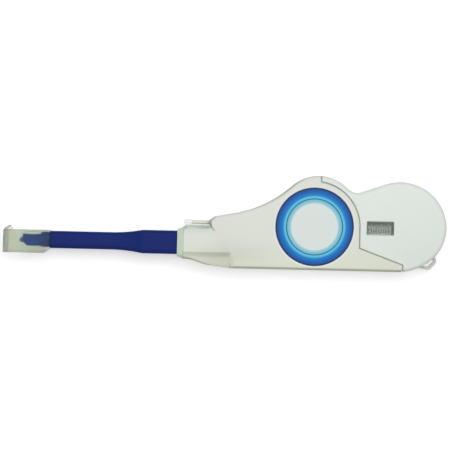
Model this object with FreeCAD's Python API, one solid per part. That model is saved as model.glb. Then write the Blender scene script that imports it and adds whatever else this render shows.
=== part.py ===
import FreeCAD, Part
import math
import os

from FreeCAD import Vector

# Fibre connector cleaning pen, lying on its flat back with the label face up.
# Frame: X runs along the pen with the nozzle towards -X, and +Z leaves the label face.
# The origin is on the axis of the round label, at the back face. All sizes are in millimetres.

# Housing
BODY_THICK = 20.0          # back face to label face
WALL = 2.0                 # moulded wall
EDGE_ROUND = 1.8           # round of the outer edges
BULB_TOP = (44.35, 0.07)   # centre of the bulb's upper arc
BULB_TOP_R = 24.15
BULB_REAR_R = 21.85        # the bulb tightens to this radius at the rear
BULB_REAR_ANGLE = 17.0     # where the two bulb arcs meet
NECK_RISE_ANGLE = 19.4     # slope of the line from the valley up to the bulb
HEEL_ANGLE = 28.0          # slope of the line from the bulb down to the flat bottom
HEEL_R = 25.0
BOTTOM_Y = -22.4           # flat bottom edge
VALLEY_X = 20.3
VALLEY_R = 7.0
HUMP_X = 2.2               # corner that the hump's arc rounds
HUMP_RISE = 16.2           # that corner above the valley's corner
HUMP_R = 20.6
HOLLOW_R = 60.0            # long hollow in front of the hump
HOLLOW_CORNER = (-25.4, 9.4)
NOSE_X = -68.0             # front face of the front housing
NOSE_LOW_Y = -17.9         # bottom of that face
NOSE_LEAD = (1.5, 1.2)     # slope from that face up to the deck
DECK_Y = -0.5              # top of the nose, under the lock lever
DECK_BANK = (5.5, 1.6)     # slope of the nose's upper edge, along Y and Z
DECK_TAIL = 4.5            # the slope runs out over this length behind the step
SHOULDER_X = -54.4         # step behind the lock lever
SHOULDER_TOP = (2.4, 4.4)  # the step's top edge, and the corner behind it
SHOULDER_LENGTH = 2.8
SHOULDER_R = 1.5
BELLY_CORNERS = [(-42.0, BOTTOM_Y), (-56.0, -20.8), (-63.5, -18.3)]
BELLY_R = 12.0             # round of those corners of the underside

# Seam between front housing and rear cover, concentric with the label
SEAM_R = 23.3
SEAM_TOP_X = 2.9
SEAM_CORNER_Y = -10.7
SEAM_FOOT = (45.8, -18.9)
SEAM_GAP = 0.35            # visible groove
NOTCH = 1.3                # V at the groove's foot
LIP = 1.6                  # the rear cover's inner lip reaches this far under the front housing
LIP_FIT = 0.1

# Label and window
LABEL_R = 20.2
LABEL_THICK = 0.3
LABEL_RECESS = 0.5
LABEL_FIT = 0.15
WINDOW_CENTRE = (34.05, -0.05)
WINDOW_LENGTH = 13.9
WINDOW_WIDTH = 6.9
WINDOW_DEPTH = 4.0         # label face down to the pane
WINDOW_WALL = 1.0
LENS_THICK = 1.0

# Finger scoop in the label side of the nose
SCOOP_TOP_Y = -13.9
SCOOP_END_X = -41.5
SCOOP_DEPTH = 1.5          # at its rear end
SCOOP_BANK = 2.4           # width of its sloping edge there
SCOOP_CORNER = 2.5

# Nozzle, about its own axis
NOZZLE_Y = -9.7
NOZZLE_FRONT_X = -138.3
NOZZLE_THIN = (9.0, 12.0)  # section along Y and Z
NOZZLE_THICK = (12.2, 15.0)
NOZZLE_ROUND = 2.2
NOZZLE_BORE = (5.4, 8.6)
FLARE_START_X = -104.0
FLARE_END_X = -89.0
THICK_END_X = -52.0
NOZZLE_REAR_X = -33.0
REBATE_LENGTH = 1.3        # the cap seats on this reduced end
SLIDE_FIT = 0.15           # clearance of the nozzle in the nose
STROKE = 12.0              # push that makes one clean
COLLAR_LENGTH = 3.0
COLLAR_TAPER = 1.1

# Cleaning tip and tape
TIP_DROP = 0.4             # the tip's axis lies this far under the nozzle's
FLANGE_SIZE = (7.8, 11.0)
FLANGE_LENGTH = 3.4        # ribbed neck in front of the nozzle
TIP_SIZE = (6.1, 9.0)
TIP_LENGTH = 9.5
TIP_BEVEL = 2.2
SPIGOT_LENGTH = 6.0
TIP_BORE = (3.5, 7.0)
HEAD_THICK = 2.4
HEAD_PROUD = 1.7           # the head's front edge beyond the tip
HEAD_LENGTH = 24.0
HEAD_TRAVEL = 1.5
TAPE_WIDTH = 6.4
TAPE_THICK = 0.15
TAPE_GAP = 0.1             # tape to the head that it slides on

# Reels
SUPPLY_X = -2.0
TAKEUP_X = 34.0
SUPPLY_FLANGE_R = 15.0
TAKEUP_FLANGE_R = 14.0
SUPPLY_TAPE_R = 13.0
TAKEUP_TAPE_R = 8.5
HUB_R = 5.0
FLANGE_THICK = 0.7
TAPE_SIDE_GAP = 0.2
SPINDLE_R = 2.0
SPINDLE_FIT = 0.05
RUN_GAP = 0.3              # face clearance between moving layers
PLATE_THICK = 1.1
RAIL_HEIGHT = 0.5
RAIL_FIT = 0.05
POST_R = 1.2

# Rack and gear
MODULE = 0.8
GEAR_TEETH = 20
PRESSURE_ANGLE = 20.0
BACKLASH = 0.1             # taken from each tooth at the pitch line
GEAR_THICK = 2.0
RACK_DEPTH = 3.6           # root line to back

# Pegs that join the housing halves
BOSS_R = 2.4
PEG_R = 1.2
PEG_LENGTH = 5.0
PEG_FIT = 0.05

# Springs
SPRING_R = 2.2             # to the wire's centre
SPRING_WIRE = 0.6
SPRING_TURNS = 6
SPRING_Y = -1.3
SPRING_LENGTH = 24.6
NIB_LENGTH = 2.0
RIB_THICK = 1.6
HEAD_SPRING_R = 0.85
HEAD_SPRING_WIRE = 0.35
HEAD_SPRING_TURNS = 5
HEAD_SPRING_LENGTH = 12.0
COIL_STEPS = 8             # wire sections for each turn
COIL_SIDES = 4

# Lock lever
LEVER_TOP_Y = 2.2
LEVER_THICK = 2.1
LEVER_WIDTH = 8.0
KNOB_LENGTH = 3.5
KNOB_FRONT_X = -67.4
LEVER_PIN_R = 0.8
LEVER_FIT = 0.4

# Guide cap
CAP_OVERLAP = 1.2          # the cap's rear end past the nozzle's front edge
CAP_LENGTH = 22.7
CAP_TOP_Y = -4.75
CAP_BOTTOM_Y = -16.75
CAP_WIDTH = 15.0
CAP_WALL = 0.9
CAP_REAR_WALL = 2.5
CAP_ROUND = 1.0
CAP_CHAMFER = (3.2, 2.25)
CAP_FIT = 0.1
LID_THICK = 1.3
LID_GAP = 0.1
HINGE_BACK = 1.5           # hinge axis behind the cap's front edge, and above its top
HINGE_RISE = 1.75
STRAP_THICK = 1.0
STRAP_WIDTH = 7.0

# Strap loop
LOOP_BAR = 1.5
LOOP_REACH = (4.1, 3.25)   # its two outer corners, beyond the bulb
LOOP_THICK = 3.0

MID_Z = BODY_THICK / 2.0
FLANGE_END_X = NOZZLE_FRONT_X - FLANGE_LENGTH
TIP_END_X = FLANGE_END_X - TIP_LENGTH
HEAD_END_X = TIP_END_X - HEAD_PROUD
CAP_REAR_X = NOZZLE_FRONT_X + CAP_OVERLAP
CAP_FRONT_X = CAP_REAR_X - CAP_LENGTH
HINGE_X = CAP_FRONT_X + HINGE_BACK
HINGE_Y = CAP_TOP_Y + HINGE_RISE
EPS = 1.0                  # overrun of cutting bodies


# ---------------------------------------------------------------- helpers

def rounded_path(points):
    """Edges through (x, y, corner radius) points; the two end points have radius 0."""
    corners = [Vector(x, y, 0) for x, y, _ in points]
    edges = []
    start = corners[0]
    for i in range(1, len(points) - 1):
        radius = points[i][2]
        back = (corners[i - 1] - corners[i]).normalize()
        ahead = (corners[i + 1] - corners[i]).normalize()
        half = back.getAngle(ahead) / 2.0
        if radius <= 0 or half > math.pi / 2.0 - 1e-4:
            edges.append(Part.makeLine(start, corners[i]))
            start = corners[i]
            continue
        reach = radius / math.tan(half)
        first = corners[i] + back * reach
        last = corners[i] + ahead * reach
        inward = (back + ahead).normalize()
        middle = corners[i] + inward * (radius / math.sin(half) - radius)
        if start.distanceToPoint(first) > 1e-6:
            edges.append(Part.makeLine(start, first))
        edges.append(Part.Arc(first, middle, last).toShape())
        start = last
    edges.append(Part.makeLine(start, corners[-1]))
    return edges


def closed_path(points):
    """Closed wire through (x, y, corner radius) points, starting on the side before the first."""
    (x0, y0, _), (x1, y1, _) = points[-1], points[0]
    middle = ((x0 + x1) / 2.0, (y0 + y1) / 2.0, 0)
    return Part.Wire(rounded_path([middle] + points + [middle]))


def prism(wire, z0, z1):
    """Solid over a wire in the XY plane."""
    face = Part.Face(wire)
    face.translate(Vector(0, 0, z0))
    return face.extrude(Vector(0, 0, z1 - z0))


def plate(points, z0, z1):
    """Solid over a closed outline with rounded corners."""
    return prism(closed_path(points), z0, z1)


def block(x0, x1, y0, y1, z0, z1):
    """Box between two corners."""
    return Part.makeBox(x1 - x0, y1 - y0, z1 - z0, Vector(x0, y0, z0))


def post(x, y, z0, z1, radius):
    """Round bar along Z."""
    return Part.makeCylinder(radius, z1 - z0, Vector(x, y, z0))


def section(x, y, size, radius):
    """Rounded rectangle in the plane X = x, centred on (y, MID_Z)."""
    half_y, half_z = size[0] / 2.0, size[1] / 2.0
    radius = min(radius, 0.45 * min(size))
    wire = closed_path([(-half_y, -half_z, radius), (half_y, -half_z, radius),
                        (half_y, half_z, radius), (-half_y, half_z, radius)])
    wire.rotate(Vector(0, 0, 0), Vector(0, 0, 1), 90)
    wire.rotate(Vector(0, 0, 0), Vector(0, 1, 0), 90)
    wire.translate(Vector(x, y, MID_Z))
    return wire


def bar(x0, x1, y, size, radius):
    """Rounded rectangular bar along X."""
    return Part.Face(section(x0, y, size, radius)).extrude(Vector(x1 - x0, 0, 0))


def coil(x0, x1, y, radius, wire_size, turns):
    """Coil spring along X between two seats, as a loft through sections of its wire."""
    steps = COIL_STEPS * turns
    pitch = (x1 - x0 - wire_size) / turns
    rings = []
    for i in range(steps + 1):
        angle = 2.0 * math.pi * i / COIL_STEPS
        outward = Vector(0, math.cos(angle), math.sin(angle))
        centre = Vector(x0 + wire_size / 2.0 + pitch * i / COIL_STEPS, y, MID_Z) + outward * radius
        corners = []
        for j in range(COIL_SIDES):
            turn = 2.0 * math.pi * j / COIL_SIDES
            spoke = outward * math.cos(turn) + Vector(math.sin(turn), 0, 0)
            corners.append(centre + spoke * (wire_size / 2.0))
        rings.append(Part.makePolygon(corners + [corners[0]]))
    return Part.makeLoft(rings, True, True)


def fuse(shapes):
    """One clean solid from touching or overlapping solids."""
    joined = shapes[0]
    for shape in shapes[1:]:
        joined = joined.fuse(shape)
    return joined.removeSplitter()


def save(node, shape):
    shape.exportStep("parts/" + node + ".step")


# ---------------------------------------------------------------- housing

def on_circle(centre, radius, degrees):
    angle = math.radians(degrees)
    return (centre[0] + radius * math.cos(angle), centre[1] + radius * math.sin(angle))


BULB_REAR = on_circle(BULB_TOP, BULB_TOP_R - BULB_REAR_R, BULB_REAR_ANGLE)
BULB_REACH = BULB_REAR[0] + BULB_REAR_R


def body_outline():
    """Outline of the whole housing, front and rear together."""
    upper = on_circle(BULB_TOP, BULB_TOP_R, 90 + NECK_RISE_ANGLE)
    lower = on_circle(BULB_REAR, BULB_REAR_R, HEEL_ANGLE - 90)
    heel_x = lower[0] - (lower[1] - BOTTOM_Y) / math.tan(math.radians(HEEL_ANGLE))
    valley_y = upper[1] - (upper[0] - VALLEY_X) * math.tan(math.radians(NECK_RISE_ANGLE))
    path = rounded_path([
        (lower[0], lower[1], 0),
        (heel_x, BOTTOM_Y, HEEL_R)]
        + [(x, y, BELLY_R) for x, y in BELLY_CORNERS]
        + [(NOSE_X, NOSE_LOW_Y, 0),
           (NOSE_X, DECK_Y - NOSE_LEAD[1], 0),
           (NOSE_X + NOSE_LEAD[0], DECK_Y, 0),
           (SHOULDER_X, DECK_Y, 0),
           (SHOULDER_X, SHOULDER_TOP[0], 0),
           (SHOULDER_X + SHOULDER_LENGTH, SHOULDER_TOP[1], SHOULDER_R),
           (HOLLOW_CORNER[0], HOLLOW_CORNER[1], HOLLOW_R),
           (HUMP_X, valley_y + HUMP_RISE, HUMP_R),
           (VALLEY_X, valley_y, VALLEY_R),
           (upper[0], upper[1], 0)])
    start = 90 + NECK_RISE_ANGLE
    half_way = on_circle(BULB_TOP, BULB_TOP_R, (start + BULB_REAR_ANGLE) / 2.0)
    joint = on_circle(BULB_TOP, BULB_TOP_R, BULB_REAR_ANGLE)
    far = on_circle(BULB_REAR, BULB_REAR_R, (BULB_REAR_ANGLE + HEEL_ANGLE - 90) / 2.0)
    path.append(Part.Arc(Vector(*upper, 0), Vector(*half_way, 0), Vector(*joint, 0)).toShape())
    path.append(Part.Arc(Vector(*joint, 0), Vector(*far, 0), Vector(*lower, 0)).toShape())
    return Part.Wire(Part.__sortEdges__(path))


def inset(wire, depth):
    """The outline moved inwards."""
    return wire.makeOffset2D(-depth)


def seam_region(grow):
    """Everything on the nose side of the seam, which is moved to the rear by grow."""
    radius = SEAM_R + grow
    top_x = SEAM_TOP_X + grow
    fall = (SEAM_FOOT[1] - SEAM_CORNER_Y) / (SEAM_FOOT[0] - SEAM_R)
    normal = math.hypot(1.0, fall)
    corner_y = SEAM_CORNER_Y + grow * (normal + fall)
    foot_x = SEAM_FOOT[0] + grow
    foot_y = corner_y + fall * (foot_x - radius)
    top_y = math.sqrt(radius ** 2 - top_x ** 2)
    middle = on_circle((0, 0), radius, math.degrees(math.atan2(top_y, top_x)) / 2.0)
    far = 2.0 * BULB_TOP_R
    corners = [(radius, 0), (radius, corner_y), (foot_x, foot_y), (foot_x, -far),
               (2 * NOSE_X, -far), (2 * NOSE_X, far), (top_x, far), (top_x, top_y)]
    edges = [Part.makeLine(Vector(*a, 0), Vector(*b, 0)) for a, b in zip(corners, corners[1:])]
    edges.append(Part.Arc(Vector(*corners[-1], 0), Vector(*middle, 0), Vector(radius, 0, 0)).toShape())
    return prism(Part.Wire(edges), -EPS, BODY_THICK + EPS)


def scoop_outline(grow, z):
    """Outline of the finger scoop, open to the nose and to the underside."""
    far_x, low_y = NOSE_X - 4 * EPS, BOTTOM_Y - 4 * EPS
    wire = closed_path([(far_x, SCOOP_TOP_Y + grow, 0), (far_x, low_y, 0), (SCOOP_END_X + grow, low_y, 0),
                        (SCOOP_END_X + grow, SCOOP_TOP_Y + grow, SCOOP_CORNER)])
    wire.translate(Vector(0, 0, z))
    return wire


def scoop(grow):
    """Cutter for the finger scoop, which deepens from the nose; grow thickens it for the wall inside."""
    flare = SCOOP_BANK / SCOOP_DEPTH
    high = SCOOP_DEPTH + 2 * EPS
    cutter = Part.makeLoft([scoop_outline(grow - SCOOP_BANK, -grow),
                            scoop_outline(grow - SCOOP_BANK + flare * (high + grow), high)], True, True)
    tilt = math.degrees(math.atan2(SCOOP_DEPTH, SCOOP_END_X - NOSE_X))
    cutter.translate(Vector(0, 0, BODY_THICK))
    cutter.rotate(Vector(NOSE_X, 0, BODY_THICK), Vector(0, 1, 0), tilt)
    return cutter


def deck_bank():
    """Cutter for the sloping upper edge of the nose, which ends in a slant at the shoulder."""
    width, depth = DECK_BANK
    edge_y = DECK_Y - width
    fall = depth / width
    slope = Part.makePolygon([Vector(NOSE_X - EPS, edge_y, BODY_THICK),
                              Vector(NOSE_X - EPS, DECK_Y + EPS, BODY_THICK - depth - EPS * fall),
                              Vector(NOSE_X - EPS, DECK_Y + EPS, BODY_THICK + EPS),
                              Vector(NOSE_X - EPS, edge_y, BODY_THICK + EPS),
                              Vector(NOSE_X - EPS, edge_y, BODY_THICK)])
    cutter = Part.Face(slope).extrude(Vector(SHOULDER_X - NOSE_X + EPS, 0, 0))
    tail = Part.makePolygon([Vector(SHOULDER_X, edge_y, BODY_THICK),
                             Vector(SHOULDER_X, DECK_Y + EPS, BODY_THICK - depth - EPS * fall),
                             Vector(SHOULDER_X, DECK_Y + EPS, BODY_THICK + EPS),
                             Vector(SHOULDER_X, edge_y, BODY_THICK + EPS),
                             Vector(SHOULDER_X, edge_y, BODY_THICK)])
    return cutter.fuse(Part.makeLoft([tail, Part.Vertex(SHOULDER_X + DECK_TAIL, edge_y, BODY_THICK + EPS)],
                                     True, True))


def seam_notch():
    """Small V where the seam leaves the underside."""
    x = SEAM_FOOT[0] + SEAM_GAP / 2.0
    return plate([(x - NOTCH, BOTTOM_Y - EPS, 0), (x + NOTCH, BOTTOM_Y - EPS, 0), (x, BOTTOM_Y + NOTCH, 0)],
                 -EPS, BODY_THICK + EPS)


def soften_rims(body):
    """Round the rims of both faces, as a band of flats that touch the true round."""
    leg = EDGE_ROUND * (2.0 - math.sqrt(2.0))
    rims = [e for e in body.Edges if e.BoundBox.ZLength < 1e-6 and e.BoundBox.XMax > NOSE_X + 1e-3]
    return body.makeChamfer(leg, rims)


def housing_bodies():
    """Outer form, lap surface half way through the wall, and inner cavity."""
    outline = body_outline()
    outer = prism(outline, 0, BODY_THICK)
    outer = soften_rims(outer)
    half = prism(inset(outline, WALL / 2.0), WALL / 2.0, BODY_THICK - WALL / 2.0)
    cavity = prism(inset(outline, WALL), WALL, BODY_THICK - WALL)
    outer = outer.cut(scoop(0)).cut(deck_bank()).cut(seam_notch())
    return outer, half, cavity.cut(scoop(WALL))


def nozzle_passage():
    """Space that the thick part of the nozzle slides in, over its whole stroke."""
    size = (NOZZLE_THICK[0] + 2 * SLIDE_FIT, NOZZLE_THICK[1] + 2 * SLIDE_FIT)
    rear = THICK_END_X + STROKE + SLIDE_FIT
    return bar(NOSE_X - COLLAR_LENGTH - EPS, rear, NOZZLE_Y, size, NOZZLE_ROUND + SLIDE_FIT)


def nose_guides():
    """Bulkheads of the front housing that hold the nozzle in line."""
    outline = inset(body_outline(), WALL / 2.0)
    body = prism(outline, WALL / 2.0, BODY_THICK - WALL / 2.0)
    far = 2.0 * BULB_TOP_R
    slabs = [block(NOSE_X, NOSE_X + 2.5, -far, far, 0, BODY_THICK),
             block(THICK_END_X - 3.0, THICK_END_X - 1.2, -far, far, 0, BODY_THICK)]
    guides = fuse([body.common(slab) for slab in slabs])
    return guides.cut(scoop(WALL / 2.0)).cut(nozzle_passage())


# Joining pegs: (x, y) in the front housing and in the rear cover, each beside a wall
FRONT_PEGS = [(THICK_END_X + 16.0, BOTTOM_Y + 4.2), on_circle((0, 0), SEAM_R - 2.2, 116.8)]
REAR_PEGS = [on_circle(BULB_TOP, BULB_TOP_R - 5.0, 52.4), on_circle(BULB_REAR, BULB_REAR_R - 2.3, -78.3)]


def boss_rows(places, z0, z1, radius):
    return [post(x, y, z0, z1, radius) for x, y in places]


def with_pegs(shell, places, limit):
    """Label-side half with bosses and pegs; limit is the body that the bosses stay inside."""
    bosses = [b.common(limit) for b in boss_rows(places, MID_Z, BODY_THICK - WALL / 2.0, BOSS_R)]
    pegs = boss_rows(places, MID_Z - PEG_LENGTH, MID_Z + EPS, PEG_R)
    return fuse([shell] + bosses + pegs)


def with_sockets(shell, places, limit):
    """Back half with bosses that take the pegs."""
    bosses = [b.common(limit) for b in boss_rows(places, WALL / 2.0, MID_Z, BOSS_R)]
    shell = fuse([shell] + bosses)
    for hole in boss_rows(places, MID_Z - PEG_LENGTH - PEG_FIT, MID_Z + EPS, PEG_R + PEG_FIT):
        shell = shell.cut(hole)
    return shell


def strap_loop():
    """Loop for a wrist strap at the lower rear, moulded with the back half of the rear cover."""
    spots = [(-1.0, -75.0, 0), (LOOP_REACH[0], -57.7, 2.6), (LOOP_REACH[1], -44.7, 2.2), (-2.3, -36.9, 0),
             (-7.4, -54.3, 0)]
    corners = [(*on_circle(BULB_REAR, BULB_REAR_R + reach, angle), radius) for reach, angle, radius in spots]
    outer = plate(corners, MID_Z - LOOP_THICK, MID_Z)
    hole = prism(inset(closed_path(corners), LOOP_BAR), 0, BODY_THICK)
    bulb = post(BULB_REAR[0], BULB_REAR[1], 0, BODY_THICK, BULB_REAR_R)
    return outer.cut(hole.cut(bulb)).cut(post(BULB_REAR[0], BULB_REAR[1], 0, BODY_THICK,
                                              BULB_REAR_R - WALL / 2.0))


def window_box(grow, z0, z1):
    """Box round the window's opening, widened by grow."""
    x, y = WINDOW_CENTRE
    half_x = WINDOW_LENGTH / 2.0 + grow
    half_y = WINDOW_WIDTH / 2.0 + grow
    return block(x - half_x, x + half_x, y - half_y, y + half_y, z0, z1)


# Layers inside the housing, from the back wall up; the tape runs at mid height
REEL_LOW = MID_Z - TAPE_WIDTH / 2.0 - TAPE_SIDE_GAP - FLANGE_THICK
REEL_HIGH = MID_Z + TAPE_WIDTH / 2.0 + TAPE_SIDE_GAP + FLANGE_THICK
GEAR_LOW = REEL_LOW - GEAR_THICK
PLATE_LOW = WALL + RAIL_HEIGHT
PLATE_HIGH = PLATE_LOW + PLATE_THICK
RIB_LOW = REEL_HIGH + RUN_GAP

PITCH_R = MODULE * GEAR_TEETH / 2.0
RACK_PITCH_Y = PITCH_R
RACK_ROOT_Y = RACK_PITCH_Y + 1.25 * MODULE
RACK_BACK_Y = RACK_ROOT_Y + RACK_DEPTH
RACK_START_X = TAKEUP_X - PITCH_R
RACK_END_X = TAKEUP_X + STROKE + PITCH_R
RACK_HIGH = REEL_LOW - 0.4
RACK_PINS = [RACK_START_X + 3.0, RACK_END_X - 3.0]
RACK_PIN_Y = (RACK_ROOT_Y + RACK_BACK_Y) / 2.0
RACK_PIN_HALF = 0.8


LUG_X = THICK_END_X + 3.4
SEAT_X = LUG_X + RIB_THICK + SPRING_LENGTH
NIB_R = SPRING_R - SPRING_WIRE
LEVER_PIN_X = SHOULDER_X + 1.7
LEVER_PIN_Y = LEVER_TOP_Y - LEVER_THICK / 2.0


def rack_pin(x, grow, z0, z1):
    """Square pin that holds the rack, or its hole, widened by grow."""
    half = RACK_PIN_HALF + grow
    return block(x - half, x + half, RACK_PIN_Y - half, RACK_PIN_Y + half, z0, z1)


def lever_pocket():
    """Slot in the shoulder for the rear end of the lock lever, and its pin hole."""
    half = LEVER_WIDTH / 2.0 + LEVER_FIT
    rear = LEVER_PIN_X + LEVER_THICK / 2.0 + LEVER_FIT
    slot = block(SHOULDER_X - EPS, rear, DECK_Y, LEVER_TOP_Y + 4.0, MID_Z - half, MID_Z + half)
    return slot.fuse(post(LEVER_PIN_X, LEVER_PIN_Y, WALL + EPS, BODY_THICK - WALL - EPS, LEVER_PIN_R))


def shoulder_block():
    """Solid bridge across the housing that carries the lever's pin."""
    return block(SHOULDER_X + 0.4, SHOULDER_X + 4.2, -2.6, LEVER_TOP_Y + 4.0, 0, BODY_THICK)


def housing_halves():
    """The four moulded shells."""
    outer, half, cavity = housing_bodies()
    lap = half.cut(seam_region(-LIP - LIP_FIT))
    front = outer.common(seam_region(0)).cut(cavity).cut(lap)
    shoulder = shoulder_block().common(outer)
    front = fuse([front, nose_guides(), shoulder]).cut(nozzle_passage())
    lip = half.cut(seam_region(-LIP))
    for boss in boss_rows(FRONT_PEGS, 0, BODY_THICK, BOSS_R + LIP_FIT):
        lip = lip.cut(boss)
    rear = outer.cut(seam_region(SEAM_GAP)).fuse(lip).cut(cavity)
    far = 4.0 * BULB_TOP_R
    above = block(-far, far, -far, far, MID_Z, BODY_THICK + EPS)
    below = block(-far, far, -far, far, -EPS, MID_Z)
    inside_front = half.common(seam_region(-LIP - LIP_FIT))
    inside_rear = half.cut(seam_region(SEAM_GAP))

    front_top = with_pegs(front.common(above), FRONT_PEGS, outer.common(seam_region(0)))
    rib_end = 0.87 * (SEAM_R - LIP)
    ribs = [block(SUPPLY_X - SUPPLY_FLANGE_R, rib_end, y - 0.6, y + 0.6, RIB_LOW, BODY_THICK - WALL / 2.0)
            for y in (-8.0, 8.0)]
    seat = spring_seat()
    front_top = fuse([front_top, seat] + ribs)
    front_top = front_top.cut(post(0, 0, BODY_THICK - LABEL_RECESS, BODY_THICK + EPS, LABEL_R + LABEL_FIT))
    front_top = front_top.cut(lever_pocket())

    rear_top = with_pegs(rear.common(above), REAR_PEGS, inside_rear)
    ribs = [block(SEAM_R + 2.7, BULB_REACH - 8.4, y - 0.6, y + 0.6, RIB_LOW, BODY_THICK - WALL / 2.0)
            for y in (-9.0, 9.0)]
    frame = window_box(WINDOW_WALL, BODY_THICK - WINDOW_DEPTH, BODY_THICK - WALL / 2.0)
    rear_top = fuse([rear_top, frame] + ribs).cut(window_box(0, 0, BODY_THICK + EPS))

    rails = [block(THICK_END_X + 4.0, SEAM_R - 4.3, y - 0.75, y + 0.75, WALL / 2.0, PLATE_LOW - RAIL_FIT)
             for y in (-9.0, 0.0)]
    front_back = with_sockets(front.common(below), FRONT_PEGS, outer.common(seam_region(0)))
    front_back = fuse([front_back] + rails).cut(lever_pocket())

    rails = [block(SEAM_R + 3.7, BULB_REACH - 7.4, y - 0.75, y + 0.75, WALL / 2.0, PLATE_LOW - RAIL_FIT)
             for y in (-6.0, 3.0)]
    pad = block(RACK_START_X, RACK_END_X, RACK_PIN_Y - 1.5, RACK_BACK_Y, WALL / 2.0, GEAR_LOW)
    pins = [rack_pin(x, 0, WALL / 2.0, RACK_HIGH) for x in RACK_PINS]
    rear_back = with_sockets(rear.common(below), REAR_PEGS, inside_rear)
    rear_back = fuse([rear_back, pad, strap_loop()] + rails + pins)
    return front_top, front_back, rear_top, rear_back


def spring_seat():
    """Rib of the label-side half that the return spring pushes against."""
    rib = block(SEAT_X, SEAT_X + RIB_THICK, SPRING_Y - 2.9, 6.0, PLATE_HIGH + 2.5, BODY_THICK - WALL / 2.0)
    nib = Part.makeCylinder(NIB_R, NIB_LENGTH, Vector(SEAT_X - NIB_LENGTH, SPRING_Y, MID_Z), Vector(1, 0, 0))
    return rib.fuse(nib)


def nose_collar():
    """Front ring of the nose, tapered towards the nozzle."""
    y_low, y_high = NOSE_LOW_Y, DECK_Y - NOSE_LEAD[1]
    centre = (y_low + y_high) / 2.0
    rear_size = (y_high - y_low, BODY_THICK)
    front_size = (rear_size[0] - 2 * COLLAR_TAPER, rear_size[1] - 2 * COLLAR_TAPER)
    front_x = NOSE_X - COLLAR_LENGTH
    ring = Part.makeLoft([section(front_x, centre, front_size, 2.4), section(NOSE_X, centre, rear_size, 2.4)],
                         True, True)
    return ring.cut(nozzle_passage())


# ---------------------------------------------------------------- fixed trim

def label_disc():
    low = BODY_THICK - LABEL_RECESS
    return post(0, 0, low, low + LABEL_THICK, LABEL_R)


def window_lens():
    high = BODY_THICK - WINDOW_DEPTH
    return window_box(WINDOW_WALL, high - LENS_THICK, high)


def lever_pin():
    return post(LEVER_PIN_X, LEVER_PIN_Y, WALL + EPS, BODY_THICK - WALL - EPS, LEVER_PIN_R)


def rack_tooth(x, y):
    """One tooth of the rack, pointing to -Y, on the pitch line at (x, y)."""
    lean = math.tan(math.radians(PRESSURE_ANGLE))
    half = math.pi * MODULE / 4.0 - BACKLASH / 2.0
    tip = half - lean * MODULE
    root = half + lean * 1.25 * MODULE
    return [(x - root, y + 1.25 * MODULE, 0), (x - tip, y - MODULE, 0),
            (x + tip, y - MODULE, 0), (x + root, y + 1.25 * MODULE, 0)]


def drive_rack():
    """Toothed rack that turns the take-up gear as the carriage slides past it."""
    pitch = math.pi * MODULE
    first = math.ceil((RACK_START_X - TAKEUP_X + 1.5) / pitch)
    last = math.floor((RACK_END_X - TAKEUP_X - 1.5) / pitch)
    points = [(RACK_START_X, RACK_BACK_Y, 0), (RACK_START_X, RACK_ROOT_Y, 0)]
    for i in range(first, last + 1):
        points += rack_tooth(TAKEUP_X + i * pitch, RACK_PITCH_Y)
    points += [(RACK_END_X, RACK_ROOT_Y, 0), (RACK_END_X, RACK_BACK_Y, 0)]
    rack = plate(points, GEAR_LOW, RACK_HIGH)
    for x in RACK_PINS:
        rack = rack.cut(rack_pin(x, PEG_FIT, GEAR_LOW - EPS, RACK_HIGH + EPS))
    return rack


# ---------------------------------------------------------------- carriage

def nozzle_tube():
    """Moulded nozzle: thick rear part, hollow flare, thin front part, and latch lugs at the rear."""
    thin = bar(FLARE_START_X, NOZZLE_REAR_X, NOZZLE_Y, NOZZLE_THIN, NOZZLE_ROUND)
    front = bar(NOZZLE_FRONT_X + REBATE_LENGTH, FLARE_START_X, NOZZLE_Y, NOZZLE_THIN, NOZZLE_ROUND)
    rebate = bar(NOZZLE_FRONT_X, NOZZLE_FRONT_X + REBATE_LENGTH, NOZZLE_Y, FLANGE_SIZE, NOZZLE_ROUND - 0.5)
    thick = bar(FLARE_END_X, THICK_END_X, NOZZLE_Y, NOZZLE_THICK, NOZZLE_ROUND)
    stations = []
    steps = 3
    for i in range(steps + 1):
        share = i / steps
        grow = share ** 1.8
        size = [a + (b - a) * grow for a, b in zip(NOZZLE_THIN, NOZZLE_THICK)]
        x = FLARE_START_X + (FLARE_END_X - FLARE_START_X) * share
        stations.append(section(x, NOZZLE_Y, size, NOZZLE_ROUND))
    flare = Part.makeLoft(stations, True, True)
    lugs = [block(CRADLE_X + 3.0, CRADLE_X + 6.0, NOZZLE_Y + side * NOZZLE_THIN[0] / 2.0 - 0.9,
                  NOZZLE_Y + side * NOZZLE_THIN[0] / 2.0 + 0.9, MID_Z - 1.5, MID_Z + 1.5)
            for side in (-1, 1)]
    tube = fuse([front, rebate, flare, thin, thick] + lugs)
    bore = bar(NOZZLE_FRONT_X - EPS, NOZZLE_REAR_X + EPS, NOZZLE_Y, NOZZLE_BORE, 0)
    wide = (NOZZLE_BORE[0] + 3.2, NOZZLE_BORE[1] + 3.4)
    core = bar(FLARE_END_X + 1.0, THICK_END_X - 2.0, NOZZLE_Y, wide, 0)
    half_z = NOZZLE_BORE[1] / 2.0 + 0.5
    bridge = block(SPRING_STOP_X, SPRING_STOP_X + 2.0, TIP_Y - 0.9, TIP_Y + 0.9,
                   MID_Z - half_z, MID_Z + half_z)
    return tube.cut(bore).cut(core).fuse(bridge)


CRADLE_X = THICK_END_X + 6.5
TIP_Y = NOZZLE_Y - TIP_DROP
HEAD_REAR_X = HEAD_END_X + HEAD_LENGTH
SPRING_STOP_X = HEAD_REAR_X + HEAD_SPRING_LENGTH
TAPE_Y = HEAD_THICK / 2.0 + TAPE_GAP + TAPE_THICK / 2.0


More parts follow.
